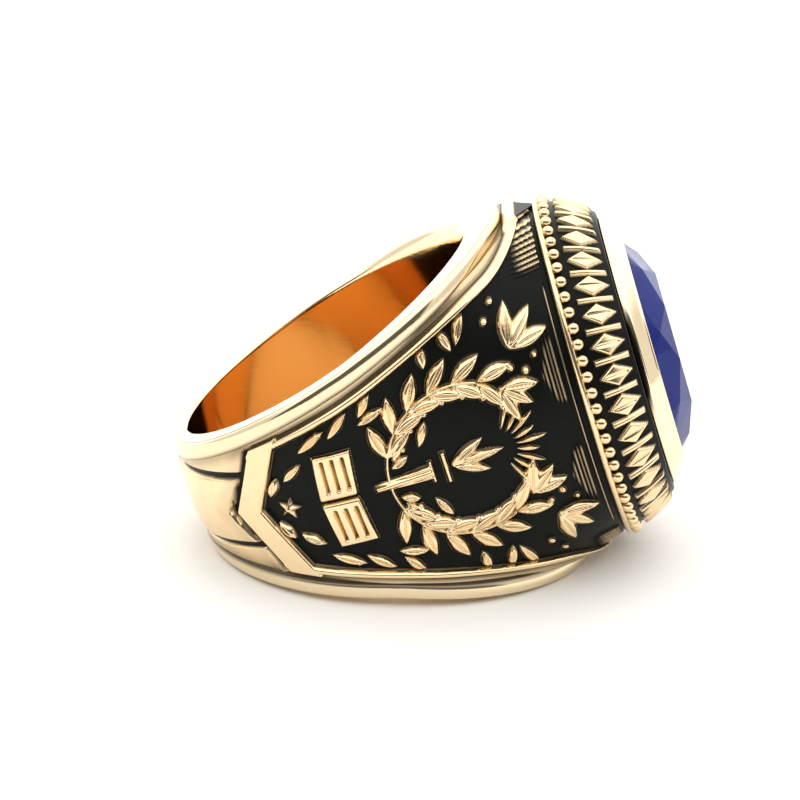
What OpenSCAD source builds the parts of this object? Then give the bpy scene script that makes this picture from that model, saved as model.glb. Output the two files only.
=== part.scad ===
// Class ring resting on one side face: a wedge shaped cast band, a collet and an oval faceted stone.
// The pieces are drawn in the ring's own frame: X points to the stone, Y across the finger, Z along the
// finger, with the centre of the finger hole at the origin. lying_down() then turns the whole ring so that
// its lower side face is level.

/* [Finger hole] */
// Diameter of the finger hole
bore_d = 20; // [18:0.1:22]
// Depth at which the hole's wall begins to flare, below the straight side planes
flare_d = 0.3; // [0.2:0.05:0.5]
// Widening of that flare for each millimetre of its height
flare_slope = 0.23; // [0.15:0.01:0.3]

/* [Band] */
// Width of the band at the back of the shank
back_w = 7.4; // [6.5:0.1:9]
// Width of the band at the foot of the bezel
head_w = 22.2; // [20:0.1:24]
// Wall under the rails at the back
back_t = 1.15; // [1.1:0.05:1.5]
// Wall under the rails at the shoulders
shoulder_t = 1.7; // [1.55:0.05:1.85]
// Wall under the rails at the head
nose_t = 2.8; // [2.6:0.1:3.3]
// Wall at the black floor of the panels and grooves
floor_t = 0.95; // [0.85:0.05:1.1]
// Height of the raised work above that floor
relief_h = 0.5; // [0.3:0.05:0.6]

/* [Rails] */
// Width of the rounded rail along each side edge
rail_w = 1.05; // [0.9:0.05:1.3]
// Flat land along the rail's crest, on which the ring rests
rail_land = 0.5; // [0.3:0.05:0.7]
// Step from the rail's land down to the side face
side_step = 0.07; // [0.04:0.01:0.12]
// Rise of the side face at the head above the straight line from the back
head_rise = 1.05; // [0.6:0.05:1.2]
// Distance in front of the ring's centre where that rise begins
rise_x = 1.6; // [1.2:0.1:2.2]
// Depth of the flats worn into the rails where the ring rests
worn = 0.04; // [0.03:0.01:0.06]
// Width of the cove between the rail and the border line
cove_w = 0.35; // [0.25:0.05:0.5]
// Width of the thin border line round each panel
border_w = 0.7; // [0.5:0.05:0.9]

/* [Shank] */
// Width of the domed strip round the back of the shank
strip_w = 4.2; // [3.4:0.1:4.6]
// Wall at the crown of the domed strip
strip_t = 1.5; // [1.4:0.05:1.9]
// Drop from the strip's crown to its edges
strip_drop = 0.2; // [0.1:0.05:0.3]
// Width of the black grooves beside the strip
groove_w = 0.45; // [0.3:0.05:0.6]

/* [Chevron frame] */
// Distance of the chevron's outer point behind the ring's centre
chevron_back = 6.8; // [6:0.1:7.4]
// Width of the chevron's flat band at its point
chevron_w = 1.7; // [1.2:0.1:2]
// Slope of the chevron's arms, forward run over rise
chevron_slope = 0.52; // [0.4:0.01:0.6]

/* [Bezel] */
// Metal between the finger hole and the foot of the bezel
head_t = 4.9; // [4.6:0.1:5.6]
// Width of the bezel's foot across the finger
head_d = 20; // [19:0.1:20.6]
// Height of the bezel from its foot to its top
bezel_h = 3.5; // [3.2:0.1:4]
// How far the bezel's flank bulges outward at half height
bezel_crown = 0.3; // [0.1:0.05:0.4]
// Height of the thin rim at the bezel's foot
rim_h = 0.35; // [0.25:0.05:0.45]
// Overhang of that rim past the panels
rim_out = 0.4; // [0.25:0.05:0.5]
// Diameter of the beads above the rim
bead_d = 0.74; // [0.6:0.02:0.8]
// Spacing of the beads along the rim
bead_pitch = 1; // [0.9:0.05:1.3]
// Spacing of the lozenges round the bezel
lozenge_pitch = 1.85; // [1.6:0.05:2.4]
// Height of the lozenges and reeds above the flank
ornament_h = 0.3; // [0.2:0.05:0.4]

/* [Stone] */
// Length of the stone along the finger
stone_l = 14.5; // [13.6:0.1:14.8]
// Width of the stone across the finger
stone_w = 12.6; // [12:0.1:13]
// Height of the crown from the girdle to the table
crown_h = 1.75; // [1.4:0.05:2]
// Thickness of the girdle
girdle_t = 0.25; // [0.15:0.05:0.35]
// Depth of the pavilion below the girdle
pavilion_h = 3.6; // [3:0.1:4]
// Width of the table as a share of the stone
table_share = 0.62; // [0.55:0.01:0.66]

/* [Collet] */
// Width of the collet's foot outside the stone's girdle
collet_foot = 1.5; // [1.3:0.05:1.7]
// Width of the collet's lip outside the stone's girdle
lip_out = 0.4; // [0.3:0.05:0.5]
// Reach of the lip over the stone's edge
lip_in = 0.22; // [0.1:0.02:0.3]
// Height of the collet above the bezel
collet_h = 1.2; // [1.15:0.05:1.4]
// Depth of the collet's skirt in the bezel
skirt_h = 1.2; // [0.8:0.1:1.6]
// Height of the underside of the stone's girdle above the bezel
girdle_z = 0.55; // [0.4:0.05:0.7]
// Clearance between the stone, the collet and the bezel
clearance = 0.05; // [0.04:0.01:0.08]

/* [Side panels] */
// Diameter of the wreath's stem circle
wreath_d = 9.2; // [8.6:0.1:9.4]
// Distance of the wreath's centre in front of the ring's centre
wreath_x = 7.4; // [7.2:0.1:7.8]
// Length of a laurel leaf
leaf_l = 2.3; // [1.8:0.1:2.5]
// Width of a laurel leaf
leaf_w = 0.9; // [0.7:0.05:1]
// Leaf pairs on each branch of the wreath
leaf_pairs = 7; // [5:1:8]
// Width of the open book across its pages
book_w = 6; // [5:0.1:6.4]
// Height of the book's pages
book_h = 2.5; // [2.2:0.1:2.8]
// Distance of the book's foot behind the ring's centre
book_back = 1.2; // [1:0.1:1.5]
// Radius of the star beside the chevron
star_r = 0.95; // [0.7:0.05:1.1]
// Length of the torch from its foot to the tip of its flame
torch_l = 8; // [7:0.1:8.4]

/* [Hidden] */
gold = [0.93, 0.78, 0.5];
polished_gold = [0.96, 0.84, 0.6];
blue = [0.1, 0.16, 0.45];

$fn = 96;
OVAL_SIDES = 48;    // sides of the ovals
CUT = 8;            // main facets of the stone's crown
REACH = 60;         // longer than the ring in every direction
THIN = 0.01;        // thickness of the discs that a loft is hulled from
SINK = 0.4;         // how deep raised work is rooted in what carries it
SHOULDER = 21;      // angle over which the shoulder's round passes into the slope to the bezel

bore_r = bore_d / 2;
back_r = bore_r + back_t;
shoulder_r = bore_r + shoulder_t;
nose_r = bore_r + nose_t;
floor_r = bore_r + floor_t;
strip_r = bore_r + strip_t;
foot_x = bore_r + head_t;
top_x = foot_x + bezel_h;
girdle_x = top_x + girdle_z;
crown_x = girdle_x + girdle_t;
table_x = crown_x + crown_h;
taper = atan((head_w - back_w) / 2 / (foot_x + back_r));
half_w = back_w / 2 + back_r * tan(taper);      // half width at the centre of the hole

// In front of rise_x each side face spreads more steeply.
bend_w = half_w + rise_x * tan(taper);
steep = atan(tan(taper) + head_rise / (nose_r - rise_x));

// The rails run along two half circles, joined by straights, in the planes of the side face.
rail_r = rail_w / 2;
sag = rail_r - sqrt(rail_r * rail_r - rail_land * rail_land / 4);
loop_back = back_r / cos(taper) - shoulder_r;
loop_front = (nose_r - rise_x) / cos(steep) - shoulder_r;

// The ring rests on the rail's crest at the back and at the head.
heel_x = back_r - rail_r;
heel_w = half_w - heel_x * tan(taper);
toe_x = nose_r - rail_r;
toe_w = bend_w + (toe_x - rise_x) * tan(steep);
tilt = atan((toe_w - heel_w) / (toe_x + heel_x));
rest_w = heel_w + heel_x * tan(tilt) - worn;
rise = rest_w * cos(tilt);                      // height of the ring's centre as it lies

// The panels' floor follows the same loop, seen along the finger, and then climbs to the bezel's foot.
front_r = shoulder_r - (back_r - floor_r);
front_x = nose_r - shoulder_r;
lean = asin((front_r - floor_r) / front_x);
foot_l = head_w - 2 * rim_out;
foot_w = head_d - 2 * rim_out;

// Distances from the side face to the two edges of the border line
border_inset = rail_w + cove_w;
panel_inset = border_inset + border_w;

// The bezel narrows from its foot to the collet's foot.
collet_l = stone_l + 2 * collet_foot;
collet_w = stone_w + 2 * collet_foot;
top_l = collet_l + 2 * ornament_h;
top_w = collet_w + 2 * ornament_h;
skirt_l = stone_l + collet_foot;
skirt_w = stone_w + collet_foot;
seat_x = top_x - skirt_h;
chamber_x = bore_r + floor_t + SINK;
chamber_l = stone_l - collet_foot;
chamber_w = stone_w - collet_foot;

// Ends of the resting ring along the row, which set the origin midway between them
row_back = (rail_r - back_r / cos(taper)) * cos(taper + tilt) - half_w * sin(tilt)
    + (rail_r - sag) * sin(taper + tilt) - rail_r;
row_front = table_x * cos(tilt) + stone_l / 2 * table_share * sin(tilt);

function oval_points(l, w, sides, turn) =
    [for (k = [0:sides - 1]) [l / 2 * cos(turn + k * 360 / sides), w / 2 * sin(turn + k * 360 / sides)]];
function perimeter(l, w) =
    PI / 2 * (3 * (l + w) - sqrt((3 * l + w) * (l + 3 * w)));

module lying_down() {
    translate([-(row_back + row_front) / 2, 0, rise]) rotate([0, -tilt, 0]) children();
}

// An outline drawn in X and Z, pushed through the ring along Y
module through() {
    rotate([90, 0, 0]) linear_extrude(REACH, center = true) children();
}

// A flat oval plate at x, l long in Z, w wide in Y and h thick
module oval(x, l, w, h = THIN, sides = OVAL_SIDES, turn = 0) {
    translate([x, 0, 0]) rotate([0, 90, 0]) linear_extrude(h) polygon(oval_points(l, w, sides, turn));
}

// Everything between two planes that are w0 from the middle of the ring's centre and spread at an angle
module spread(w0, angle) {
    far_w = w0 + REACH * tan(angle);
    through() polygon([[-w0 / tan(angle), 0], [REACH, -far_w], [REACH, far_w]]);
}

// Everything between the side faces, each moved inward by inset
module side_faces(inset) {
    w0 = bend_w - inset / cos(taper);
    far_w = w0 + (REACH - rise_x) * tan(steep);
    through() polygon([
        [rise_x - w0 / tan(taper), 0], [rise_x, -w0], [REACH, -far_w], [REACH, far_w], [rise_x, w0]
    ]);
}

// The band's outline seen along the finger, grown by grow above the panels' floor
module loop(grow) {
    r = floor_r + grow;
    r2 = front_r + grow;
    circle(r);
    translate([front_x, 0]) circle(r2);
    polygon([
        [-r * sin(lean), r * cos(lean)],
        [front_x - r2 * sin(lean), r2 * cos(lean)],
        [front_x - r2 * sin(lean), -r2 * cos(lean)],
        [-r * sin(lean), -r * cos(lean)]
    ]);
}

// The wall of the band from the shank up to the bezel, grown in the same way
module wall(grow) {
    r2 = front_r + grow;
    linear_extrude(REACH, center = true) loop(grow);
    hull() {
        oval(foot_x - THIN, foot_l + 2 * grow, foot_w + 2 * grow);
        translate([front_x, 0, 0]) linear_extrude(2 * (half_w - rail_w), center = true)
            polygon([for (side = [1, -1], a = [0:SHOULDER / 3:SHOULDER])
                (r2 - THIN) * [sin(side > 0 ? a : SHOULDER - a), side * cos(side > 0 ? a : SHOULDER - a)]]);
    }
}

// One rounded rail along each side edge, with a flat land level with the side face
module rails() {
    lap = 0.3;
    // The rail's section, its land at y = 0
    module section() translate([shoulder_r - rail_r, 0]) {
        intersection() {
            translate([0, sag - rail_r]) circle(rail_r);
            translate([-rail_r, -rail_w]) square(rail_w);
        }
        translate([-rail_r, -rail_w]) square([rail_w, rail_w - rail_r + sag]);
    }
    module straights(from, to) for (across = [0, 1])
        mirror([0, across, 0]) translate([from, 0, 0]) rotate([90, 0, 90]) linear_extrude(to - from) section();
    intersection() {
        union() for (side = [0, 1]) mirror([0, 0, side]) {
            translate([0, 0, half_w]) rotate([0, -taper, 0]) {
                translate([-loop_back, 0, 0]) rotate(90) rotate_extrude(angle = 180) section();
                straights(-loop_back, rise_x / cos(taper) + lap);
            }
            translate([rise_x, 0, bend_w]) rotate([0, -steep, 0]) {
                translate([loop_front, 0, 0]) rotate(-90) rotate_extrude(angle = 180) section();
                straights(-lap, loop_front);
            }
        }
        spread(rest_w, tilt);
    }
}

// All that lies in front of a V whose point is at x and whose arms slope forward
module vee(x) {
    through() polygon([
        [x, 0], [x + REACH * chevron_slope, REACH], [REACH, REACH],
        [REACH, -REACH], [x + REACH * chevron_slope, -REACH]
    ]);
}

// The shank behind the chevrons: a domed strip, a groove on each side of it and a plain strip to each rail
module shank_strips() {
    arc_r = (pow(strip_w / 2, 2) + pow(strip_drop, 2)) / (2 * strip_drop);
    difference() {
        union() {
            rotate_extrude() intersection() {
                translate([bore_r + floor_t / 2, -strip_w / 2]) square([strip_t, strip_w]);
                translate([strip_r - arc_r, 0]) circle(arc_r);
            }
            difference() {
                intersection() {
                    cylinder(h = REACH, r = back_r, center = true);
                    side_faces(rail_r);
                }
                cube([REACH, REACH, strip_w + 2 * groove_w], center = true);
            }
        }
        vee(-chevron_back - groove_w);
    }
}

// A pointed leaf from the origin along X
module leaf(l, w) {
    sides = 4;
    polygon([
        for (k = [0:sides - 1]) [l * k / sides, w / 2 * sin(180 * k / sides)],
        for (k = [0:sides - 1]) [l * (1 - k / sides), -w / 2 * sin(180 * k / sides)]
    ]);
}

// Two laurel branches that start together at the foot of the wreath and leave its top open
module wreath() {
    r = wreath_d / 2;
    stem = 0.25;
    first = 20;
    step = 130 / leaf_pairs;
    translate([wreath_x, 0]) {
        difference() {
            circle(r + stem / 2);
            circle(r - stem / 2);
            translate([r * 0.4, -r - stem]) square(2 * (r + stem));
        }
        for (side = [0, 1], k = [0:leaf_pairs - 1], spread = [-32, 32])
            mirror([0, side]) rotate(180 - first - k * step) translate([r, 0])
                rotate(spread - 90) leaf(leaf_l, leaf_w);
        for (side = [0, 1]) mirror([0, side]) rotate(50) translate([r, 0]) rotate(-90) leaf(leaf_l, leaf_w);
    }
}

module open_book() {
    fold = 0.35;
    gap = 0.18;
    lines = 3;
    margin = book_w / 10;
    line_w = book_w / 3;
    translate([-book_back, 0]) difference() {
        polygon([
            [-fold, 0], [0, -book_w / 2], [book_h, -book_w / 2], [book_h - fold, 0],
            [book_h, book_w / 2], [0, book_w / 2]
        ]);
        translate([0, -gap / 2]) square([book_h, gap]);
        for (side = [0, 1], k = [1:lines]) mirror([0, side])
            translate([k * book_h / (lines + 1) - gap / 2, margin]) square([gap, line_w]);
    }
}

module torch() {
    cup = 1.5;
    flame = torch_l * 0.42;
    translate([book_h - book_back + 0.5, 0]) {
        polygon([
            [0, -0.3], [torch_l * 0.46, -cup * 0.38], [torch_l * 0.46, cup * 0.38], [0, 0.3]
        ]);
        translate([torch_l * 0.46 - 0.3, -cup / 2]) square([0.35, cup]);
        translate([torch_l * 0.52, -cup * 0.7]) square([0.45, cup * 1.4]);
        for (turn = [-24, 0, 24])
            translate([torch_l - flame, 0]) rotate(turn)
                leaf(flame * (turn == 0 ? 1 : 0.75), cup * 0.55);
    }
}

module star() {
    points = 5;
    translate([star_r - chevron_back + chevron_w + 0.7, 0]) polygon([
        for (k = [0:2 * points - 1])
            (k % 2 == 0 ? star_r : star_r * 0.42) * [cos(k * 180 / points), sin(k * 180 / points)]
    ]);
}

// Three leaves in each corner between the wreath and the bezel
module sprigs() {
    root_x = foot_x - 3.4;
    root_z = head_w * 0.24;
    for (side = [0, 1], turn = [10, 45, 80])
        mirror([0, side]) translate([root_x, root_z]) rotate(turn) leaf(leaf_l * 1.1, leaf_w);
}

// Chevrons, border lines and emblems, all raised to one height above the panels' floor
module raised_work() {
    intersection() {
        union() {
            difference() {
                vee(-chevron_back);
                vee(-chevron_back + chevron_w);
            }
            difference() {
                vee(-chevron_back);
                side_faces(panel_inset);
            }
            through() {
                wreath();
                open_book();
                torch();
                star();
                sprigs();
            }
        }
        side_faces(border_inset);
        wall(relief_h);
    }
}

module bezel(grow) {
    hull() {
        oval(foot_x - SINK, foot_l + 2 * grow, foot_w + 2 * grow);
        oval(foot_x + rim_h, foot_l + 2 * grow, foot_w + 2 * grow);
        oval(foot_x + bezel_h / 2, mid_l(grow), mid_w(grow));
        oval(top_x - THIN, top_l + 2 * grow, top_w + 2 * grow);
    }
}
function mid_l(grow) = (foot_l + top_l) / 2 + 2 * (bezel_crown + grow);
function mid_w(grow) = (foot_w + top_w) / 2 + 2 * (bezel_crown + grow);

// A child drawn in X (up the flank) and Y (round it), set on the bezel's flank at angle a from its end
module on_flank(a) {
    up = (top_x - foot_x);
    pull = atan(((foot_w - top_w) * pow(sin(a), 2) + (foot_l - top_l) * pow(cos(a), 2)) / 2 / up);
    translate([foot_x, foot_w / 2 * sin(a), foot_l / 2 * cos(a)])
        rotate([atan2(cos(a) / foot_l, sin(a) / foot_w), 0, 0]) rotate([90, 0, -pull])
            translate([0, 0, -1]) linear_extrude(1 + SINK) children();
}

// Lozenges with a slim reed between each two, round the bezel
module bezel_ornament() {
    count = round(perimeter(mid_l(0), mid_w(0)) / lozenge_pitch);
    low = rim_h + bead_d + 0.15;
    high = bezel_h - 0.1;
    for (k = [0:count - 1]) {
        on_flank((k + 0.5) * 360 / count) polygon([
            [low, 0], [(low + high) / 2, lozenge_pitch * 0.3], [high, 0],
            [(low + high) / 2, -lozenge_pitch * 0.3]
        ]);
        on_flank(k * 360 / count)
            translate([low, -lozenge_pitch * 0.09]) square([high - low, lozenge_pitch * 0.18]);
    }
}

module bead_border() {
    l = foot_l + bead_d * 0.3;
    w = foot_w + bead_d * 0.3;
    count = round(perimeter(l, w) / bead_pitch);
    for (k = [0:count - 1])
        translate([
            foot_x + rim_h + bead_d * 0.4,
            w / 2 * sin(k * 360 / count),
            l / 2 * cos(k * 360 / count)
        ]) sphere(d = bead_d, $fn = 24);
}

// The finger hole, whose wall flares a little towards both of its rims
module finger_hole() {
    slant = bore_r * tan(taper);
    low_r = bore_r - flare_slope * slant;
    cylinder(h = REACH, r = bore_r, center = true);
    for (side = [0, 1]) mirror([0, 0, side])
        translate([-flare_slope * slant, 0, half_w - flare_d - slant])
            cylinder(h = bore_r, r1 = low_r, r2 = low_r + flare_slope * bore_r);
}

// Shank, shoulders and rails, still without the bezel. The side faces end under the middle of the rails.
module shank() {
    union() {
        intersection() {
            linear_extrude(REACH, center = true) loop(back_r - floor_r - rail_r);
            side_faces(side_step);
        }
        intersection() {
            wall(0);
            side_faces(rail_r);
        }
        rails();
    }
}

// The bezel with its rim, bead border and ornament
module bezel_top() {
    union() {
        bezel(0);
        oval(foot_x, head_w, head_d, rim_h);
        intersection() {
            bezel_ornament();
            bezel(ornament_h);
        }
        bead_border();
    }
}

// The one casting: shank, rails, panels and bezel, bored for the finger and opened for the collet
module ring_band() {
    color(gold) difference() {
        union() {
            shank();
            shank_strips();
            raised_work();
            bezel_top();
        }
        finger_hole();
        oval(seat_x - clearance, skirt_l + 2 * clearance, skirt_w + 2 * clearance, REACH);
        oval(chamber_x, chamber_l, chamber_w, REACH);
    }
}

// The stone's outline as a solid of revolution made oval, grown on every side by grow
module stone_blank(grow) {
    hull() {
        oval(table_x + grow, stone_l * table_share, stone_w * table_share);
        oval(girdle_x - grow, stone_l + 2 * grow, stone_w + 2 * grow, girdle_t + 2 * grow);
        oval(girdle_x - pavilion_h - grow, stone_l * 0.1, stone_w * 0.1);
    }
}

module collet() {
    color(polished_gold) difference() {
        union() {
            hull() {
                oval(top_x + clearance, collet_l, collet_w);
                oval(top_x + collet_h - THIN, stone_l + 2 * lip_out, stone_w + 2 * lip_out);
            }
            oval(seat_x, skirt_l, skirt_w, skirt_h + SINK);
        }
        stone_blank(clearance);
        oval(crown_x, stone_l - 2 * lip_in, stone_w - 2 * lip_in, REACH);
        oval(seat_x - SINK, chamber_l - 2 * SINK, chamber_w - 2 * SINK, skirt_h + SINK);
    }
}

// Crown of kites, stars and girdle facets round a flat table, over a pavilion down to a blunt culet
module stone() {
    half = 180 / CUT;
    mid_share = (1 + table_share) / 2;
    mid_h = crown_h * (1 - mid_share * cos(half)) / (1 - table_share);
    color(blue) hull() {
        oval(table_x - THIN, stone_l * table_share, stone_w * table_share, sides = CUT);
        oval(crown_x + mid_h - THIN, stone_l * mid_share, stone_w * mid_share, sides = CUT, turn = half);
        oval(girdle_x, stone_l, stone_w, girdle_t, sides = 4 * CUT);
        oval(girdle_x - pavilion_h, stone_l * 0.1, stone_w * 0.1, sides = CUT);
    }
}

lying_down() {
    ring_band();
    collet();
    stone();
}
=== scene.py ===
import math

import bmesh
import bpy
import numpy as np
from mathutils import Matrix, Vector


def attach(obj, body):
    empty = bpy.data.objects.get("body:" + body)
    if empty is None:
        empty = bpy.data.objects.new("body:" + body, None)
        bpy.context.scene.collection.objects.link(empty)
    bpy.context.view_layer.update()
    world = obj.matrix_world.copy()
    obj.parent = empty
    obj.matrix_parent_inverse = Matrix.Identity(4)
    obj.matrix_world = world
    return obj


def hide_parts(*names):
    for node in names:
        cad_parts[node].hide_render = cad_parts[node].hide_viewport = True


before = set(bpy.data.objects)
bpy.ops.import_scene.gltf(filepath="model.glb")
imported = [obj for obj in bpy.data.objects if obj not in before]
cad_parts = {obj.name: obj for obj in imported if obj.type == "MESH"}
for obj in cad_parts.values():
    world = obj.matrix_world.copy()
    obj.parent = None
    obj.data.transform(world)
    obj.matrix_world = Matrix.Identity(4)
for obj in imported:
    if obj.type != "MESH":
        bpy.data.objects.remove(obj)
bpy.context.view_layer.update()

# Side rails, side faces and finger hole
# One casting in yellow gold. A rounded rail runs along each side edge, the face inside it is polished flat,
# and the wall of the finger hole flares a little at both rims. The ring lies on the flats worn into one rail.
# Sizes are in millimetres in the ring's own frame: u to the stone, v across the finger, w along the finger.
bore_r = 10.0
wedge = math.radians(15.858)          # lean of each side face at the back and the middle
steep = math.radians(20.698)          # its lean from the middle to the head
middle_w = 6.867                      # half width of the band at the centre of the hole
bend_u = 1.6
rail_w = 1.05
face_drop = 0.05
groove_at = 0.33                      # the fine line along the rail, in from its outer edge
tilt = math.radians(18.148)
lift = 6.929
back_to_origin = 4.8643
mm = 0.001


def smooth(low, high, x):
    t = np.clip((x - low) / (high - low), 0, 1)
    return t * t * (3 - 2 * t)


def lying(u, v, w):
    """Points of the ring's own frame, as the ring lies on its rail, in metres and never below the floor."""
    x = u * math.cos(tilt) - w * math.sin(tilt) - back_to_origin
    z = u * math.sin(tilt) + w * math.cos(tilt) + lift
    return np.stack([x, v + 0 * u, np.maximum(z, 0)], axis=-1) * mm


def side_w(u):
    """Half width of the band, from its middle to the crest of the rail."""
    soft = 0.5
    rise = soft * np.logaddexp(0, (u - bend_u) / soft)
    return middle_w + u * math.tan(wedge) + (math.tan(steep) - math.tan(wedge)) * rise


def inset_at(u, w):
    """Distance of a point below the side face on its own side of the band."""
    return (side_w(u) - np.abs(w)) * math.cos(wedge)


def sheet(name, columns, rows, place, hollow=False):
    """A grid of faces moved into place; place(s, t) gives the points and the named values painted on them."""
    mesh = bmesh.new()
    bmesh.ops.create_grid(mesh, x_segments=columns, y_segments=rows, size=0.5)
    flat = np.array([vert.co[:2] for vert in mesh.verts]) + 0.5
    points, paint = place(flat[:, 0], flat[:, 1])
    layers = {key: mesh.verts.layers.float.new(key) for key in paint}
    for n, vert in enumerate(mesh.verts):
        vert.co = points[n]
        for key, layer in layers.items():
            vert[layer] = paint[key][n]
    bmesh.ops.remove_doubles(mesh, verts=mesh.verts, dist=0.0005 * mm)
    bmesh.ops.recalc_face_normals(mesh, faces=mesh.faces)
    if hollow:
        bmesh.ops.reverse_faces(mesh, faces=mesh.faces)
    return finished(name, mesh)


def finished(name, mesh):
    for face in mesh.faces:
        face.smooth = True
    data = bpy.data.meshes.new(name)
    mesh.to_mesh(data)
    mesh.free()
    piece = bpy.data.objects.new(name, data)
    bpy.context.scene.collection.objects.link(piece)
    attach(piece, "root")
    return piece


def outline(turn, inset):
    """A point on the band's outline, inset from its edge, seen along the finger."""
    front = np.cos(turn) > 0
    centre = np.where(front, 1.855, 0.105)
    half_u = np.where(front, 10.945, 11.255)
    half_v = 11.7
    u = centre + half_u * np.cos(turn)
    v = half_v * np.sin(turn)
    nu = np.cos(turn) / half_u
    nv = np.sin(turn) / half_v
    length = np.hypot(nu, nv)
    return u - inset * nu / length, v - inset * nv / length


def rail_section():
    """Round half the band: the part, a share of the way or inset from the edge, and depth below the crest."""
    steps = [("hole", 0.0, share) for share in (0.0, 0.4, 0.8, 0.97, 1.0)]
    steps += [("rim", k / 4, 0.0) for k in range(5)]
    steps += [("face", k / 6, face_drop) for k in range(1, 7)]
    steps += [("rail", 1.03, 0.03), ("rail", 0.97, 0.0), ("rail", 0.7, 0.0), ("rail", groove_at + 0.06, 0.0)]
    steps += [("rail", groove_at + 0.03, 0.02), ("rail", groove_at, 0.08), ("rail", groove_at - 0.03, 0.06)]
    for k in range(1, 13):
        a = math.pi / 2 * k / 12
        steps.append(("rail", (groove_at - 0.04) * (1 - math.sin(a)), 0.06 + 0.5 * (1 - math.cos(a))))
    steps += [("rail", 0.0, 0.8), ("rail", 0.03, 1.0), ("flank", 0.0, 0.0)]
    steps += [("web", 0.8, 0.0), ("web", 0.8, 0.5), ("web", 0.8, 1.0)]
    return steps


def band(s, t):
    """The closed skin of the band: hole, flare, side face, rail and the web under the panels."""
    half = rail_section()
    turn = s * 2 * math.pi
    count = len(half)
    index = np.rint(t * (2 * count - 1)).astype(int)
    side = np.where(index < count, 1.0, -1.0)
    index = np.where(index < count, index, 2 * count - 1 - index)
    kind = np.array([step[0] for step in half])[index]
    first = np.array([step[1] for step in half])[index]
    second = np.array([step[2] for step in half])[index]
    inner_u, inner_v = outline(turn, rail_w)
    toward = np.arctan2(inner_v, inner_u)
    flare_top = side_w(bore_r * np.cos(toward)) - face_drop
    flare_foot = np.minimum(middle_w - 0.3 + bore_r * math.tan(wedge) * np.cos(toward), flare_top - 0.15)
    open_r = bore_r + 0.23 * (flare_top - flare_foot) + 0.03
    u = np.zeros_like(s)
    v = np.zeros_like(s)
    w = np.zeros_like(s)
    hole = kind == "hole"
    u[hole] = (bore_r * np.cos(toward))[hole]
    v[hole] = (bore_r * np.sin(toward))[hole]
    w[hole] = (flare_foot * second)[hole]
    rim = kind == "rim"
    swell = np.sin(first * math.pi / 2)
    reach = bore_r + (open_r - bore_r) * (1 - np.cos(first * math.pi / 2)) + 0.12 * swell * first
    u[rim] = (reach * np.cos(toward))[rim]
    v[rim] = (reach * np.sin(toward))[rim]
    w[rim] = (flare_foot + (flare_top - flare_foot) * np.minimum(1, 1.15 * first - 0.15 * first ** 3))[rim]
    face = kind == "face"
    start_u, start_v = (open_r + 0.12) * np.cos(toward), (open_r + 0.12) * np.sin(toward)
    fu = start_u + (inner_u - start_u) * first
    fv = start_v + (inner_v - start_v) * first
    u[face], v[face] = fu[face], fv[face]
    w[face] = (side_w(fu) - face_drop)[face]
    rail = kind == "rail"
    ru, rv = outline(turn, first)
    u[rail], v[rail] = ru[rail], rv[rail]
    w[rail] = (side_w(ru) - second)[rail]
    flank = kind == "flank"
    eu, ev = outline(turn, 0.12)
    under = side_w(eu) - rail_w / math.cos(wedge)
    u[flank], v[flank], w[flank] = eu[flank], ev[flank], under[flank]
    web = kind == "web"
    wu, wv = outline(turn, 0.7)
    under = side_w(wu) - (rail_w + 0.15) / math.cos(wedge)
    u[web], v[web] = wu[web], wv[web]
    w[web] = (under * (1 - second))[web]
    points = lying(u, v, w * side)
    line = (kind == "rail") & (np.abs(first - groove_at) < 0.02)
    # Painted shade: outer darkens the rail's outer rounding a little, and under_rail darkens its foot where
    # it meets the cove.
    outer = (kind == "rail") & (first < groove_at - 0.035)
    step = (kind == "face") & (first > 0.99)
    under_rail = (kind == "rail") & (second > 0.9)
    dark = np.select([line, step, under_rail, outer, (kind == "flank") | (kind == "web")],
                     [0.75, 0.2, 0.6, 0.1, 0.9], 0.0)
    # Painted reflection: the wall of the finger hole is marked for a more orange gold, standing in for light
    # bounced between its walls.
    inside = np.where((kind == "hole") & (second < 1), 1.0, 0.0)
    return points, {"antiquing_and_shade": dark, "inside": inside}


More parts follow.
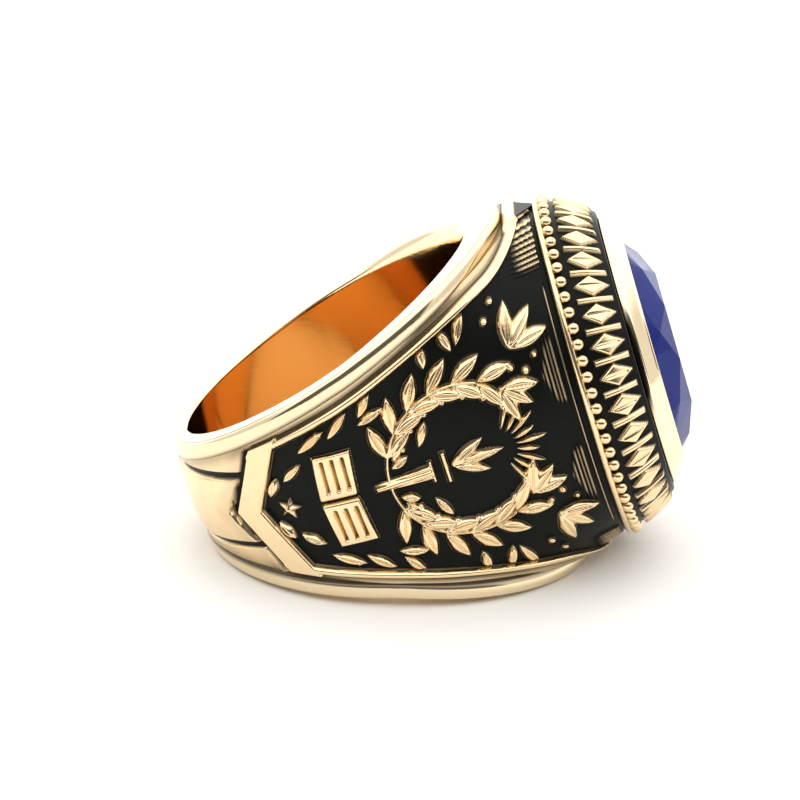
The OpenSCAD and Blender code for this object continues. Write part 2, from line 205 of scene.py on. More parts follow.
def worn_gold():
    """The colour, roughness and fine wear of gold with black antiquing and painted shade, and a painted
    reflection inside the finger hole, for both of the ring's golds.
    """
    group = bpy.data.node_groups.new("worn_gold", "ShaderNodeTree")
    for name, kind in (("Colour", "Color"), ("Deep Colour", "Color"), ("Polish", "Float"), ("Wear", "Float")):
        group.interface.new_socket(name, in_out="INPUT", socket_type="NodeSocket" + kind)
    for name, kind in (("Colour", "Color"), ("Roughness", "Float"), ("Metallic", "Float"),
                       ("Normal", "Vector")):
        group.interface.new_socket(name, in_out="OUTPUT", socket_type="NodeSocket" + kind)
    link = group.links.new
    asked = group.nodes.new("NodeGroupInput")
    given = group.nodes.new("NodeGroupOutput")
    place = group.nodes.new("ShaderNodeTexCoord")
    antiquing_and_shade = group.nodes.new("ShaderNodeAttribute")
    antiquing_and_shade.attribute_name = "antiquing_and_shade"
    inner = group.nodes.new("ShaderNodeAttribute")
    inner.attribute_name = "inside"

    cloud = group.nodes.new("ShaderNodeTexNoise")
    cloud.inputs["Scale"].default_value = 900.0
    cloud.inputs["Detail"].default_value = 3.0
    link(place.outputs["Object"], cloud.inputs["Vector"])
    tint = group.nodes.new("ShaderNodeMix")
    tint.data_type = "RGBA"
    link(cloud.outputs["Fac"], tint.inputs["Factor"])
    link(asked.outputs["Colour"], tint.inputs["A"])
    link(asked.outputs["Deep Colour"], tint.inputs["B"])
    # Painted reflection: inside the finger hole the gold is tinted orange, as light bounced between the
    # hole's walls would colour it.
    bore_reflection_tint = group.nodes.new("ShaderNodeMix")
    bore_reflection_tint.data_type = "RGBA"
    bore_reflection_tint.inputs["B"].default_value = (0.93, 0.61, 0.29, 1)
    link(inner.outputs["Fac"], bore_reflection_tint.inputs["Factor"])
    link(tint.outputs["Result"], bore_reflection_tint.inputs["A"])
    # Black where the antiquing lies and where shade is painted into the gold.
    black = group.nodes.new("ShaderNodeMix")
    black.data_type = "RGBA"
    black.inputs["B"].default_value = (0.006, 0.0065, 0.005, 1)
    link(antiquing_and_shade.outputs["Fac"], black.inputs["Factor"])
    link(bore_reflection_tint.outputs["Result"], black.inputs["A"])
    link(black.outputs["Result"], given.inputs["Colour"])

    dull = group.nodes.new("ShaderNodeMapRange")
    dull.inputs["To Max"].default_value = 0.38
    link(antiquing_and_shade.outputs["Fac"], dull.inputs["Value"])
    link(asked.outputs["Polish"], dull.inputs["To Min"])
    link(dull.outputs["Result"], given.inputs["Roughness"])
    metal = group.nodes.new("ShaderNodeMapRange")
    metal.inputs["From Min"].default_value = 0.3
    metal.inputs["From Max"].default_value = 0.9
    metal.inputs["To Min"].default_value = 1.0
    metal.inputs["To Max"].default_value = 0.2
    link(antiquing_and_shade.outputs["Fac"], metal.inputs["Value"])
    link(metal.outputs["Result"], given.inputs["Metallic"])

    stretch = group.nodes.new("ShaderNodeMapping")
    stretch.inputs["Scale"].default_value = (900, 900, 5200)
    link(place.outputs["Object"], stretch.inputs["Vector"])
    lines = group.nodes.new("ShaderNodeTexNoise")
    lines.inputs["Scale"].default_value = 1.0
    lines.inputs["Detail"].default_value = 4.0
    link(stretch.outputs["Vector"], lines.inputs["Vector"])
    bump = group.nodes.new("ShaderNodeBump")
    bump.inputs["Distance"].default_value = 0.00002
    link(asked.outputs["Wear"], bump.inputs["Strength"])
    link(lines.outputs["Fac"], bump.inputs["Height"])
    link(bump.outputs["Normal"], given.inputs["Normal"])
    return group


def gold_finish(name, group, colour, deep, rough, scratch):
    material = bpy.data.materials.new(name)
    material.use_nodes = True
    surface = material.node_tree.nodes["Principled BSDF"]
    surface.inputs["Specular IOR Level"].default_value = 0.12
    worn = material.node_tree.nodes.new("ShaderNodeGroup")
    worn.node_tree = group
    worn.inputs["Colour"].default_value = colour
    worn.inputs["Deep Colour"].default_value = deep
    worn.inputs["Polish"].default_value = rough
    worn.inputs["Wear"].default_value = scratch
    for given, taken in (("Colour", "Base Color"), ("Roughness", "Roughness"), ("Metallic", "Metallic"),
                         ("Normal", "Normal")):
        material.node_tree.links.new(worn.outputs[given], surface.inputs[taken])
    return material


wear = worn_gold()
# A lighter copy of the cast gold, for the band and the collet: the same gold, more polished, with its colour
# lifted as painted highlight so the rails look cream-white.
painted_highlight_gold = gold_finish("painted_highlight_gold", wear, (0.97, 0.82, 0.58, 1), (0.93, 0.74, 0.47, 1), 0.07, 0.12)
band_skin = sheet("band", 540, 2 * len(rail_section()) - 1, band)
band_skin.data.materials.append(painted_highlight_gold)
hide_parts("ring_band")

# Outer wall of the band: side panels, chevron frames and the strips round the back
# Cast in one with the band. The floor of each panel is blackened, and the border lines, the chevron and the
# emblems stand half a millimetre above it. They are a wreath, an open book, a torch, a star and leaf sprigs.
back_floor_r = 10.95
front_floor_r = 11.5
front_u = 1.1
foot_u = 14.9
relief_h = 0.5
border = (1.4, 2.1)                   # the border line's two edges, below the side face
slope = 0.52
chevron_u = -6.8
chevron_w = 1.7
foot_half_w = 10.7
foot_half_v = 9.6
strip_w = 2.1                         # the back strip's half width
groove_end_w = 2.55                   # the far side of the groove beside it
turn_from_u = 11.0                    # here the border starts to turn up over the band
turn_rate = 0.147
straight_w = 2.8                      # rows of faces run straight up to here
row_depth = 2.3                       # from here outwards they follow the border
roof_w = 10.95                        # the short top between the rail and the bezel's foot
rail_tuck = rail_w - 0.12             # how far the outer wall reaches under the rail
strips_from_u = -7.85                 # the strips round the back run up to here
panels_from_u = -7.9
split_u = 5.5                         # each shoulder is made in two sheets, which meet here


def wall(u, w):
    """The panels' floor: v and its outward direction, for the near or the far side alike."""
    lean = math.asin((front_floor_r - back_floor_r) / front_u)
    foot_v = foot_half_v * np.sqrt(np.maximum(1 - (w / foot_half_w) ** 2, 0.0004))
    reach = np.hypot(foot_u - front_u, foot_v)
    leave = np.arctan2(foot_v, foot_u - front_u) + np.arccos(np.clip(front_floor_r / reach, -1, 1))
    leave_u = front_u + front_floor_r * np.cos(leave)
    leave_v = front_floor_r * np.sin(leave)
    a = np.arccos(np.clip(u / back_floor_r, -1, 1))
    b = np.arccos(np.clip((u - front_u) / front_floor_r, -1, 1))
    turn = np.where(u < -back_floor_r * math.sin(lean), a, math.pi / 2 + lean)
    turn = np.where(u > front_u - front_floor_r * math.sin(lean), b, turn)
    turn = np.where(u > leave_u, leave, turn)
    v = np.where(turn == a, back_floor_r * np.sin(a), (back_floor_r + u * math.sin(lean)) / math.cos(lean))
    v = np.where(u > front_u - front_floor_r * math.sin(lean), front_floor_r * np.sin(b), v)
    v = np.where(u > leave_u, leave_v - (u - leave_u) / np.tan(leave), v)
    return v, np.cos(turn), np.sin(turn)


def depth_in(u, w, corners):
    """Distance inside a flat outline, negative outside it."""
    best = np.full(u.shape, 1e9)
    inside = np.zeros(u.shape, bool)
    for (au, aw), (bu, bw) in zip(corners, corners[1:] + corners[:1]):
        du, dw = bu - au, bw - aw
        t = np.clip(((u - au) * du + (w - aw) * dw) / (du * du + dw * dw), 0, 1)
        best = np.minimum(best, np.hypot(u - au - t * du, w - aw - t * dw))
        crosses = (aw > w) != (bw > w)
        at = au + (w - aw) * du / np.where(np.abs(dw) < 1e-9, 1e-9, dw)
        inside ^= crosses & (u < at)
    return np.where(inside, best, -best)


def leaf_in(u, w, at, angle, length, width):
    """Distance inside a pointed leaf, and the groove of its midrib."""
    c, s = math.cos(angle), math.sin(angle)
    x = (u - at[0]) * c + (w - at[1]) * s
    y = -(u - at[0]) * s + (w - at[1]) * c
    half = width / 2 * np.sin(np.pi * np.clip(x / length, 0, 1)) ** 0.8
    depth = (half - np.abs(y)) * 0.9
    outside = np.maximum(-x, x - length)
    depth = np.where(outside > 0, -np.hypot(outside, np.abs(y)), depth)
    rib = np.exp(-(y / 0.06) ** 2) * smooth(0.06, 0.2, x / length) * smooth(1.0, 0.75, x / length)
    return depth, rib


def emblems(u, w):
    """Height of the emblems above the floor, from 0 to 1."""
    height = np.zeros(u.shape)
    w = np.abs(w)

    def add(depth, soft=0.22, top=1.0, cut=0):
        nonlocal height
        body = np.sin(np.clip(depth / soft, 0, 1) * math.pi / 2) * top
        height = np.maximum(height, np.where(depth > 0, body - cut, 0))

    leaf_l, leaf_w = 2.4, 1.05
    wreath_u, wreath_r = 7.4, 4.6
    ring_r = np.hypot(u - wreath_u, w)
    stem = 0.14 - np.abs(ring_r - wreath_r)
    add(np.where(u < wreath_u + wreath_r * 0.4, stem, -1), 0.14, 0.8)
    step = math.radians(130 / 7)
    for k in range(7):
        around = math.pi - math.radians(20) - k * step
        at = (wreath_u + wreath_r * math.cos(around), wreath_r * math.sin(around))
        for spread in (-32, 32):
            depth, rib = leaf_in(u, w, at, around + math.radians(spread - 90), leaf_l, leaf_w)
            add(depth, 0.3, 0.95, 0.3 * rib)
    at = (wreath_u + wreath_r * math.cos(math.radians(50)), wreath_r * math.sin(math.radians(50)))
    depth, rib = leaf_in(u, w, at, math.radians(-40), leaf_l, leaf_w)
    add(depth, 0.3, 0.95, 0.3 * rib)

    book_u, book_w, book_h, fold = -1.2, 6.0, 2.5, 0.35
    shape = [(book_u - fold, -0.4), (book_u - fold, 0), (book_u, book_w / 2), (book_u + book_h, book_w / 2),
             (book_u + book_h - fold, 0), (book_u + book_h - fold, -0.4)]
    depth = depth_in(u, w, shape)
    swell = 0.82 + 0.18 * np.sin(np.clip(w / (book_w / 2), 0, 1) * math.pi)
    lines = np.zeros(u.shape)
    for k in (1, 2, 3):
        line_u = book_u + k * book_h / 4 - fold * (1 - w / (book_w / 2)) * 0.5
        along = smooth(0.5, 0.65, w) * smooth(2.65, 2.5, w)
        lines = np.maximum(lines, np.exp(-((u - line_u) / 0.09) ** 2) * along)
    gutter = np.exp(-(w / 0.12) ** 2)
    edge = np.exp(-((u - book_u - 0.14 + fold * (1 - w / (book_w / 2))) / 0.05) ** 2)
    add(depth, 0.2, swell, 0.75 * np.maximum(lines, gutter) + 0.25 * edge)

    torch_u, torch_l, cup = 1.8, 8.0, 1.5
    grip = torch_u + torch_l * 0.46
    add(depth_in(u, w, [(torch_u, -0.3), (torch_u, 0.3), (grip, cup * 0.38), (grip, -0.3)]), 0.3, 1.0,
        0.25 * np.exp(-((w - 0.18) / 0.06) ** 2))
    add(depth_in(u, w, [(grip - 0.3, -0.3), (grip - 0.3, cup / 2), (grip + 0.05, cup / 2),
                        (grip + 0.05, -0.3)]))
    bowl = torch_u + torch_l * 0.52
    add(depth_in(u, w, [(bowl, -0.3), (bowl, cup * 0.7), (bowl + 0.45, cup * 0.7), (bowl + 0.45, -0.3)]))
    flame = torch_l * 0.42
    for angle, share in ((0, 1.0), (24, 0.75)):
        root = (torch_u + torch_l - flame, 0)
        depth, rib = leaf_in(u, w, root, math.radians(angle), flame * share, cup * 0.55)
        add(depth, 0.3, 1.0, 0.3 * rib)

    star_u, star_r = -3.45, 0.95
    points = [(star_u + (star_r if k % 2 == 0 else star_r * 0.42) * math.cos(k * math.pi / 5),
               (star_r if k % 2 == 0 else star_r * 0.42) * math.sin(k * math.pi / 5)) for k in range(10)]
    add(depth_in(u, w, points), 0.45)

    for angle in (10, 45, 80):
        depth, rib = leaf_in(u, w, (11.5, 5.33), math.radians(angle), leaf_l * 1.1, leaf_w)
        add(depth, 0.3, 0.95, 0.3 * rib)
    for at, angle, length in (((-1.9, 3.3), 28, 2.3), ((0.1, 3.75), 40, 2.1), ((-3.3, 1.7), 34, 1.7),
                              ((-4.4, 0.75), 60, 1.5), ((2.0, 4.1), 18, 1.9), ((2.2, 4.5), 52, 1.8),
                              ((3.3, 1.3), 52, 1.7), ((3.1, 0.9), 22, 1.3), ((5.0, 1.6), 62, 1.7),
                              ((8.7, 6.5), 68, 2.2), ((8.4, 6.3), 108, 1.6), ((6.6, 5.9), 85, 1.5)):
        depth, rib = leaf_in(u, w, at, math.radians(angle), length, 0.75)
        add(depth, 0.25, 0.9, 0.3 * rib)
    for k in range(5):
        turn = math.radians(16 * k)
        root = (9.3 + 1.1 * math.cos(turn), 1.1 * math.sin(turn))
        depth, rib = leaf_in(u, w, root, turn, 2.0 if k % 2 == 0 else 1.5, 0.42)
        add(depth, 0.18, 0.85)
    for at, r in (((12.2, 3.9), 0.32), ((11.4, 4.3), 0.28), ((12.9, 4.6), 0.26), ((10.6, 7.2), 0.3),
                  ((11.2, 8.1), 0.26), ((-0.4, 4.2), 0.24)):
        add(r - np.hypot(u - at[0], w - at[1]), r, 0.85)
    for k in range(7):
        around = math.pi - math.radians(29) - k * step
        for out in (-0.85, 0.95):
            at = (wreath_u + (wreath_r + out) * math.cos(around), (wreath_r + out) * math.sin(around))
            add(0.24 - np.hypot(u - at[0], w - at[1]), 0.24, 0.8)
    return height


def ridge(x, low, high, soft):
    """A band from low to high with rounded edges, from 0 to 1."""
    edge = np.clip(np.minimum(x - low, high - x) / soft, 0, 1)
    return np.sin(edge * math.pi / 2)


def turn_up(u):
    return turn_rate * np.maximum(u - turn_from_u, 0) ** 2


def border_depth(u, w):
    """Depth below the side face as the border follows it: near the bezel it turns up over the band."""
    return inset_at(u, w) + turn_up(u)


def hatching(u, w):
    """Fine lines cut beside the bezel's foot: across it near both ends, and along it beside the middle."""
    gap = foot_u - u
    w = np.abs(w)
    across = smooth(0.35, 0.75, 0.5 + 0.5 * np.cos(2 * math.pi * w / 0.24))
    ends = across * smooth(0.3, 0.4, gap) * smooth(2.6, 1.2, gap) * smooth(8.2, 9.0, w)
    along = smooth(0.35, 0.75, 0.5 + 0.5 * np.cos(2 * math.pi * gap / 0.23))
    reach = 2.2 - 0.3 * np.abs(w - 3.2)
    middle = along * smooth(0.75, 0.85, gap) * smooth(reach, reach - 0.5, gap)
    middle *= smooth(0.8, 1.8, w) * smooth(6.2, 4.6, w)
    trim = ridge(gap, 0.42, 0.58, 0.08) * smooth(8.2, 7.4, w)
    return np.maximum(0.2 * ends, np.maximum(0.17 * middle, 0.19 * trim))


def outer_relief(u, w):
    """Height of the wall above its floor in millimetres, and how much of it is darkened: black antiquing,
    with painted shade in the cove and beside the rail on the back strips.
    """
    inset = border_depth(u, w)
    behind = u - chevron_u - slope * np.abs(w)
    soft = 0.05
    below_cove = smooth(border[0] - soft, border[0] + soft, inset)
    line = ridge(inset, *border, 0.3) * smooth(-soft, soft, behind)
    arm = ridge(behind, 0, chevron_w, 0.14) * below_cove
    field = smooth(chevron_w + soft, chevron_w + 3 * soft, behind)
    field *= smooth(border[1], border[1] + 2 * soft, inset)
    art = np.maximum(relief_h * emblems(u, w), hatching(u, w)) * field
    height = np.maximum(relief_h * np.maximum(line, arm), art)
    strips = smooth(-0.45 + soft, -0.45 - soft, behind)
    crown = 0.55 - 0.2 * (w / strip_w) ** 2
    dome = smooth(strip_w + soft, strip_w - soft, np.abs(w)) * crown
    plain = smooth(groove_end_w - soft, groove_end_w + soft, np.abs(w)) * 0.2
    height = np.where(strips > 0, strips * np.maximum(dome, plain), height)
    black = 1 - smooth(0.1, 0.24, height)
    # Painted shade on the back strips: darker beside the rail, and a little darker near their end by the
    # chevron.
    painted_rail_shade = 0.4 * smooth(2.1, 1.2, inset) + 0.15 * smooth(1.2, 0.3, np.abs(behind + 0.5))
    black = np.where(strips > 0.5, np.maximum(1 - smooth(0.02, 0.15, height), painted_rail_shade), black)
    # Painted shade: the cove between the rail and the border line is darkened, most next to the border.
    cove = (inset < border[0]) & (strips < 0.5)
    black = np.where(cove, 0.3 + 0.4 * smooth(border[0] - 0.3, border[0], inset), black)
    return height, black


def row_w(u, level, plain, framed):
    """How far out each row of faces runs: straight in the middle, then in line with the border."""
    inner = np.maximum(side_w(u) - (row_depth - turn_up(u)) / math.cos(wedge), straight_w + 0.1)
    rim = side_w(u) - (rail_tuck - turn_up(u)) / math.cos(wedge)
    middle = straight_w + (level - plain) / (framed - plain) * (inner - straight_w)
    outer = inner + (level - framed) / (1 - framed) * (rim - inner)
    w = np.where(level < plain, level / plain * straight_w, np.where(level < framed, middle, outer))
    return np.minimum(w, np.minimum(side_w(u) - rail_tuck / math.cos(wedge), roof_w))


def panel(side, from_u, to_u, lean, plain, framed):
    """One shoulder. At both ends of the bezel's foot it turns over and runs across to the other shoulder."""
    def place(s, t):
        across = np.abs(2 * t - 1) / 0.96
        level = np.minimum(across, 1)
        over = np.clip((across - 1) / 0.04, 0, 1)
        sheared = lean * smooth(0, 0.07, s) * smooth(1, 0.25, s)
        u = from_u + (to_u - from_u) * s
        for _ in range(6):
            u = from_u + (to_u - from_u) * s + sheared * row_w(u, level, plain, framed)
        end = np.sign(2 * t - 1)
        w = end * row_w(u, level, plain, framed)
        v, nu, nv = wall(np.minimum(u, foot_u), w)
        tuck = 0.6 + 0.6 * smooth(4, 7, u)
        over_v = v - over * (tuck + (v - tuck) * smooth(11.2, 11.8, u))
        height, black = outer_relief(u, w)
        lift_w = 0.5 * height * end * np.minimum(over * 8, 1) * smooth(11.2, 11.8, u)
        flat = 1 - np.minimum(over * 8, 1)
        points = lying(u + height * nu * flat, side * (over_v + height * nv * flat), w + lift_w)
        return points, {"antiquing_and_shade": black, "inside": 0 * u}
    return place


def shank_back(s, t):
    start = math.acos(strips_from_u / back_floor_r)
    turn = start + (2 * math.pi - 2 * start) * s
    u = back_floor_r * np.cos(turn)
    across = np.abs(2 * t - 1)
    edge = side_w(u) - rail_tuck / math.cos(wedge)
    outer = straight_w + (across - 0.75) * 4 * (edge - straight_w)
    w = np.sign(2 * t - 1) * np.where(across < 0.75, across / 0.75 * straight_w, outer)
    height, black = outer_relief(np.minimum(u, strips_from_u), w)
    r = back_floor_r + height
    points = lying(r * np.cos(turn), r * np.sin(turn), w)
    return points, {"antiquing_and_shade": black, "inside": 0 * u}


near_panel = sheet("near_panel", 250, 290, panel(-1, panels_from_u, split_u, slope, 0.36, 0.82))
near_corner = sheet("near_corner", 190, 440, panel(-1, split_u, foot_u + 0.1, 0, 0.27, 0.84))
far_panel = sheet("far_panel", 250, 290, panel(1, panels_from_u, split_u, slope, 0.36, 0.82))
far_corner = sheet("far_corner", 190, 440, panel(1, split_u, foot_u + 0.1, 0, 0.27, 0.84))
back_strips = sheet("back_strips", 240, 120, shank_back)
cast_gold = gold_finish("cast_gold", wear, (0.93, 0.74, 0.47, 1), (0.84, 0.62, 0.36, 1), 0.14, 0.3)
for piece in (near_panel, near_corner, far_panel, far_corner, back_strips):
    piece.data.materials.append(cast_gold)
    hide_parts("ring_band")

# Bezel: rim, bead border and ornament band
# Part of the same casting. A thin rim and a row of beads mark its foot, and lozenges with slim reeds between
# them stand on its blackened flank, up to the plain edge in which the collet sits.
top_u = 18.4
rim_h = 0.35
bead_d = 0.74


def oval_piece(name, half_w, half_v, profile, columns, lathe_height=None, hollow=False):
    """A profile of (u, distance outside the oval, blackening) carried round an oval."""
    rows = len(profile) - 1
    up = np.array([step[0] for step in profile])
    out = np.array([step[1] for step in profile])
    black = np.array([step[2] for step in profile])

    def place(s, t):
        turn = s * 2 * math.pi
        index = np.rint(t * rows).astype(int)
        height = np.zeros_like(s)
        dark = black[index]
        if lathe_height:
            height, dark = lathe_height(turn, up[index], dark)
        nw, nv = np.cos(turn) / half_w, np.sin(turn) / half_v
        length = np.hypot(nw, nv)
        w = half_w * np.cos(turn) + (out[index] + height) * nw / length
        v = half_v * np.sin(turn) + (out[index] + height) * nv / length
        return lying(up[index], v, w), {"antiquing_and_shade": dark, "inside": 0 * s}
    return sheet(name, columns, rows, place, hollow)


def flank(u):
    """Distance of the bezel's flank inside its foot, from foot to top."""
    t = np.clip((u - foot_u - rim_h) / (top_u - foot_u - rim_h), 0, 1)
    return -1.57 * t + 1.6 * 0.66 * t * (1 - t)


def ornament(turn, u, dark):
    count = 34
    low, high = foot_u + 1.2, top_u - 0.22
    place = turn / (2 * math.pi) * count
    near_reed = np.abs(place - np.rint(place)) * 1.85
    near_lozenge = np.abs(place - np.floor(place) - 0.5) * 1.85
    along = (u - low) / (high - low)
    width = 0.7 * (1 - np.abs(2 * along - 1))
    lozenge = (width - near_lozenge) * 0.8
    reed = np.minimum(0.19 - near_reed, np.minimum(u - low, high - u))
    depth = np.maximum(lozenge, reed)
    depth = np.minimum(depth, np.minimum(u - low + 0.02, high - u + 0.02))
    inner = np.clip(depth / 0.14, 0, 1)
    body = np.sqrt(np.maximum(1 - (1 - inner) ** 2, 0))
    groove = 0.35 * np.exp(-(near_lozenge / 0.07) ** 2) * smooth(0.15, 0.3, width)
    height = 0.3 * np.where(depth > 0, body - groove, 0)
    band_part = (u > low - 0.05) & (u < high + 0.05)
    # Painted shade: the lower ends of the lozenges and reeds are darkened, and their upper ends a little.
    ends = 0.3 * smooth(0.3, 0.0, along) + 0.1 * smooth(0.85, 1.0, along)
    black = 1 - (1 - ends) * smooth(0.06, 0.18, height)
    return np.where(band_part, height, 0), np.where(band_part, black, dark)


bezel_profile = [(13.2, -0.2, 1.0), (14.85, -0.05, 1.0), (14.88, 0.25, 1.0)]
bezel_profile += [(foot_u + 0.02, 0.33, 0.2), (foot_u + 0.1, 0.4, 0.0), (foot_u + 0.25, 0.4, 0.0),
                  (foot_u + rim_h - 0.02, 0.33, 0.1), (foot_u + rim_h, 0.05, 0.9)]
for k in range(1, 73):
    u = foot_u + rim_h + (top_u - foot_u - rim_h) * k / 72
    bezel_profile.append((u, float(flank(u)), 1.0))
bezel_profile += [(top_u + 0.02, -1.62, 0.9), (top_u + 0.02, -1.7, 1.0), (top_u - 0.25, -1.9, 1.0),
                  (top_u - 0.4, -3.4, 1.0)]
bezel = oval_piece("bezel", foot_half_w, foot_half_v, bezel_profile, 900, ornament)
bezel.data.materials.append(cast_gold)
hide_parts("ring_band")

# The hollow under the stone has a ledge for the collet and a plain floor above the finger.
seat_profile = [(11.4, -5.55, 0.3), (11.4, -2.0, 0.3), (11.4, -0.3, 0.3), (11.7, 0.0, 0.3),
                (17.1, 0.0, 0.3), (17.15, 0.1, 0.3), (17.15, 1.6, 0.3), (18.1, 1.6, 0.6)]
seat = oval_piece("seat", 6.5, 5.55, seat_profile, 180, hollow=True)
seat.data.materials.append(cast_gold)
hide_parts("ring_band")

beads = bmesh.new()
bead_count = 66
bead_half_w = foot_half_w + bead_d * 0.15
bead_half_v = foot_half_v + bead_d * 0.15
fine = np.linspace(0, 2 * math.pi, 4001)
path = np.concatenate([[0], np.cumsum(np.hypot(np.diff(bead_half_w * np.cos(fine)),
                                               np.diff(bead_half_v * np.sin(fine))))])
for k in range(bead_count):
    turn = float(np.interp(path[-1] * k / bead_count, path, fine))
    at = lying(np.array([foot_u + rim_h + bead_d * 0.34]), np.array([bead_half_v * math.sin(turn)]),
               np.array([bead_half_w * math.cos(turn)]))[0]
    bmesh.ops.create_uvsphere(beads, u_segments=16, v_segments=10, radius=bead_d / 2 * mm,
                              matrix=Matrix.Translation(Vector(at)))
beads.verts.layers.float.new("antiquing_and_shade")
beads.verts.layers.float.new("inside")
bead_border = finished("bead_border", beads)
bead_border.data.materials.append(cast_gold)
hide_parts("ring_band")

# Collet
# A plain polished ring of gold that is set into the bezel's top and folded over the stone's edge. A black
# seam runs along its foot, and the crescent where it opens on the near side is painted shade.
stone_half_w = 7.25
stone_half_v = 6.3
lip_u = 19.6
collet_profile = [(17.4, 0.75, 1.0), (18.4, 1.1, 1.0), (18.47, 1.42, 0.8), (18.53, 1.5, 0.1)]
for k in range(1, 17):
    t = k / 16
    collet_profile.append((18.53 + (lip_u - 0.12 - 18.53) * t, 1.5 - 1.1 * t + 0.26 * t * (1 - t), 0.0))
for k in range(1, 9):
    a = math.pi / 2 * k / 8
    collet_profile.append((lip_u - 0.12 + 0.12 * math.sin(a), 0.28 + 0.12 * math.cos(a), 0.0))
collet_profile += [(lip_u, 0.0, 0.0), (lip_u - 0.04, -0.16, 0.0), (lip_u - 0.12, -0.22, 0.1),
                   (19.3, -0.22, 0.4), (19.27, 0.0, 1.0)]


def seam(turn, u, dark):
    """The seam at the collet's foot opens to a crescent on the near side, whose inside is painted dark as
    shade.
    """
    opening = np.exp(-(((turn - 1.57 * math.pi) / 0.36) ** 2)) * smooth(18.85, 18.6, u)
    return -0.4 * opening * (u > 18.2), np.maximum(dark, smooth(0.1, 0.6, opening))


collet = oval_piece("collet_ring", stone_half_w, stone_half_v, collet_profile, 360, seam)
collet.data.materials.append(painted_highlight_gold)
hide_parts("collet")

# Stone
# One deep blue faceted oval with polished facets: a flat table, a step of crown facets, a thin girdle and a
# pavilion that closes in a blunt point.
girdle_u = 18.95
crown_u = 19.2
table_u = 20.95
cut = 8
stone_mesh = bmesh.new()
levels = [(table_u, 0.62, cut, 0.0), (20.25, 0.83, cut, 0.5), (crown_u, 1.0, 4 * cut, 0.0),
          (girdle_u, 1.0, 4 * cut, 0.0), (17.4, 0.62, cut, 0.5), (girdle_u - 3.6, 0.1, cut, 0.0)]
for u, share, sides, offset in levels:
    for k in range(sides):
        turn = (k + offset) * 2 * math.pi / sides
        at = lying(np.array([u]), np.array([stone_half_v * share * math.sin(turn)]),
                   np.array([stone_half_w * share * math.cos(turn)]))[0]
        stone_mesh.verts.new(at)
bmesh.ops.convex_hull(stone_mesh, input=stone_mesh.verts)
bmesh.ops.dissolve_limit(stone_mesh, angle_limit=math.radians(0.5), verts=stone_mesh.verts,
                         edges=stone_mesh.edges)
bmesh.ops.recalc_face_normals(stone_mesh, faces=stone_mesh.faces)
stone = finished("faceted_stone", stone_mesh)
for face in stone.data.polygons:
    face.use_smooth = False
blue = bpy.data.materials.new("blue_stone")
blue.use_nodes = True
glass = blue.node_tree.nodes["Principled BSDF"]
place = blue.node_tree.nodes.new("ShaderNodeTexCoord")
depth = blue.node_tree.nodes.new("ShaderNodeTexNoise")
depth.inputs["Scale"].default_value = 160.0
depth.inputs["Detail"].default_value = 2.0
blue.node_tree.links.new(place.outputs["Object"], depth.inputs["Vector"])
blues = blue.node_tree.nodes.new("ShaderNodeMix")
blues.data_type = "RGBA"
blues.inputs["A"].default_value = (0.005, 0.012, 0.15, 1)
blues.inputs["B"].default_value = (0.011, 0.032, 0.3, 1)
blue.node_tree.links.new(depth.outputs["Fac"], blues.inputs["Factor"])
blue.node_tree.links.new(blues.outputs["Result"], glass.inputs["Base Color"])
glass.inputs["Roughness"].default_value = 0.02
glass.inputs["IOR"].default_value = 1.45
glass.inputs["Transmission Weight"].default_value = 0.2
glass.inputs["Specular IOR Level"].default_value = 0.1
stone.data.materials.append(blue)
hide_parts("stone")

# Floor, light and camera
# A plain pale table in an evenly lit white tent of cloth, seen from a little above one shoulder. None of it
# is part of the ring.
floor_mesh = bmesh.new()
bmesh.ops.create_grid(floor_mesh, x_segments=1, y_segments=1, size=0.9)
floor_data = bpy.data.meshes.new("floor")
floor_mesh.to_mesh(floor_data)
floor_mesh.free()
floor = bpy.data.objects.new("floor", floor_data)
bpy.context.scene.collection.objects.link(floor)
paper = bpy.data.materials.new("white_table")
paper.use_nodes = True
paper.node_tree.nodes["Principled BSDF"].inputs["Base Color"].default_value = (0.93, 0.925, 0.915, 1)
paper.node_tree.nodes["Principled BSDF"].inputs["Roughness"].default_value = 0.85
floor_data.materials.append(paper)

world = bpy.data.worlds.new("white_tent")
bpy.context.scene.world = world
world.use_nodes = True
sky = world.node_tree
sky.nodes.clear()
view = sky.nodes.new("ShaderNodeTexCoord")
split = sky.nodes.new("ShaderNodeSeparateXYZ")
sky.links.new(view.outputs["Generated"], split.inputs["Vector"])


def soft_step(source, start, end):
    """A smooth step of one of the sky's directions, from 0 at start to 1 at end."""
    node = sky.nodes.new("ShaderNodeMapRange")
    node.interpolation_type = "SMOOTHSTEP"
    node.inputs["From Min"].default_value = start
    node.inputs["From Max"].default_value = end
    sky.links.new(source, node.inputs["Value"])
    return node.outputs["Result"]


def times(a, b):
    node = sky.nodes.new("ShaderNodeMath")
    node.operation = "MULTIPLY"
    sky.links.new(a, node.inputs[0])
    sky.links.new(b, node.inputs[1])
    return node.outputs["Value"]


# The tent is open towards the room in front, which stays dark, from just above the table to half way up.
opening = times(soft_step(split.outputs["Y"], -0.35, -0.6), soft_step(split.outputs["Z"], 0.75, 0.55))

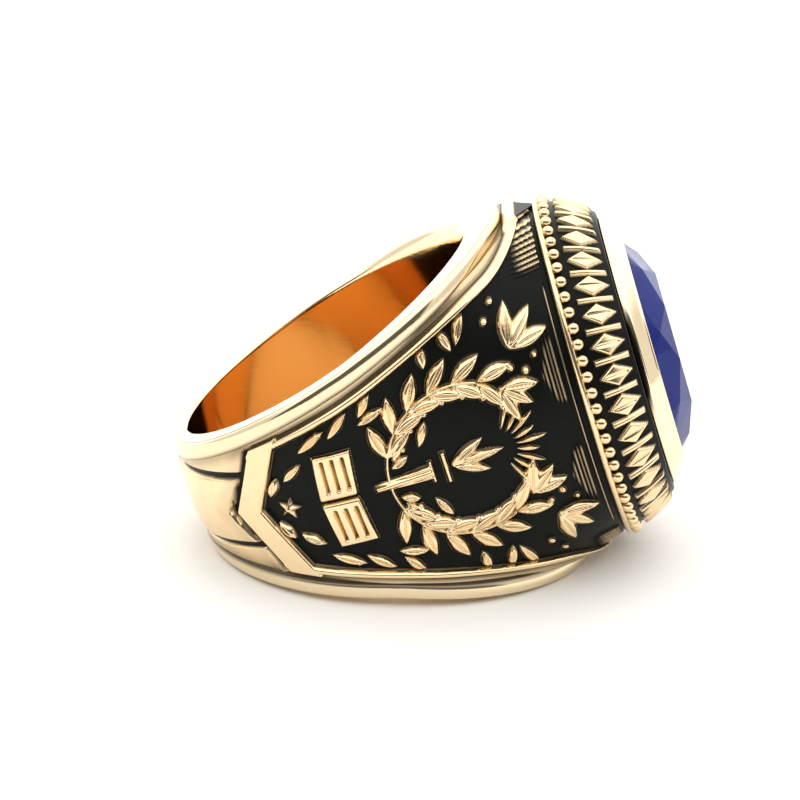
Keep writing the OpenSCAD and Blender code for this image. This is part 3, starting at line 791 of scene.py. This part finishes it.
# Its two side walls are a little grey.
sideways = sky.nodes.new("ShaderNodeMath")
sideways.operation = "ABSOLUTE"
sky.links.new(split.outputs["X"], sideways.inputs[0])
walls = times(soft_step(sideways.outputs["Value"], 0.72, 0.9), soft_step(split.outputs["Z"], 0.6, 0.35))
grey = sky.nodes.new("ShaderNodeMath")
grey.operation = "MULTIPLY"
grey.inputs[1].default_value = 0.55
sky.links.new(walls, grey.inputs[0])
darkest = sky.nodes.new("ShaderNodeMath")
darkest.operation = "MAXIMUM"
sky.links.new(grey.outputs["Value"], darkest.inputs[0])
sky.links.new(opening, darkest.inputs[1])
tent = sky.nodes.new("ShaderNodeMix")
tent.data_type = "RGBA"
tent.inputs["A"].default_value = (1.85, 1.83, 1.78, 1)
tent.inputs["B"].default_value = (0.13, 0.13, 0.12, 1)
sky.links.new(darkest.outputs["Value"], tent.inputs["Factor"])
light = sky.nodes.new("ShaderNodeBackground")
light.inputs["Strength"].default_value = 1.0
sky.links.new(tent.outputs["Result"], light.inputs["Color"])
sky_out = sky.nodes.new("ShaderNodeOutputWorld")
sky.links.new(light.outputs["Background"], sky_out.inputs["Surface"])

bpy.context.scene.view_settings.view_transform = "Standard"

camera_data = bpy.data.cameras.new("camera")
camera = bpy.data.objects.new("camera", camera_data)
bpy.context.scene.collection.objects.link(camera)
bpy.context.scene.camera = camera
camera_data.sensor_width = 36.0
camera_data.lens = 91.1
camera_data.shift_x = 0.0558
camera_data.shift_y = 0.0115
camera_data.clip_start = 0.01

# The camera was fitted to a ring that lies on a straight side face, which leans by old_lean.
elevation = math.radians(19.67)
swing = math.radians(-4.08)
roll = math.radians(-2.28)
distance = 129.39
old_lean = math.radians(15.81)
old_lift = 6.856 * math.cos(old_lean)


def from_old(point):
    """A point of the fitted view, in metres as the ring lies here."""
    X, Y, Z = point[0], point[1], point[2] + 8.0
    x = X * math.cos(swing) + Y * math.sin(swing)
    y = -X * math.sin(swing) + Y * math.cos(swing)
    z = Z - old_lift
    u = x * math.cos(old_lean) + z * math.sin(old_lean)
    w = -x * math.sin(old_lean) + z * math.cos(old_lean)
    x = u * math.cos(tilt) - w * math.sin(tilt) - back_to_origin
    z = u * math.sin(tilt) + w * math.cos(tilt) + lift
    return Vector((x, y, z)) * mm


eye = Vector((0, -distance * math.cos(elevation), distance * math.sin(elevation)))
ahead = -eye.normalized()
right = Vector((1, 0, 0))
up = right.cross(ahead)
screen_right = right * math.cos(roll) + up * math.sin(roll)
screen_up = up * math.cos(roll) - right * math.sin(roll)
origin = from_old(eye)
axis_x = (from_old(eye + screen_right) - origin).normalized()
axis_y = (from_old(eye + screen_up) - origin).normalized()
axis_z = axis_x.cross(axis_y)
turned = Matrix((axis_x, axis_y, axis_z)).transposed().to_4x4()
camera.matrix_world = Matrix.Translation(origin) @ turned
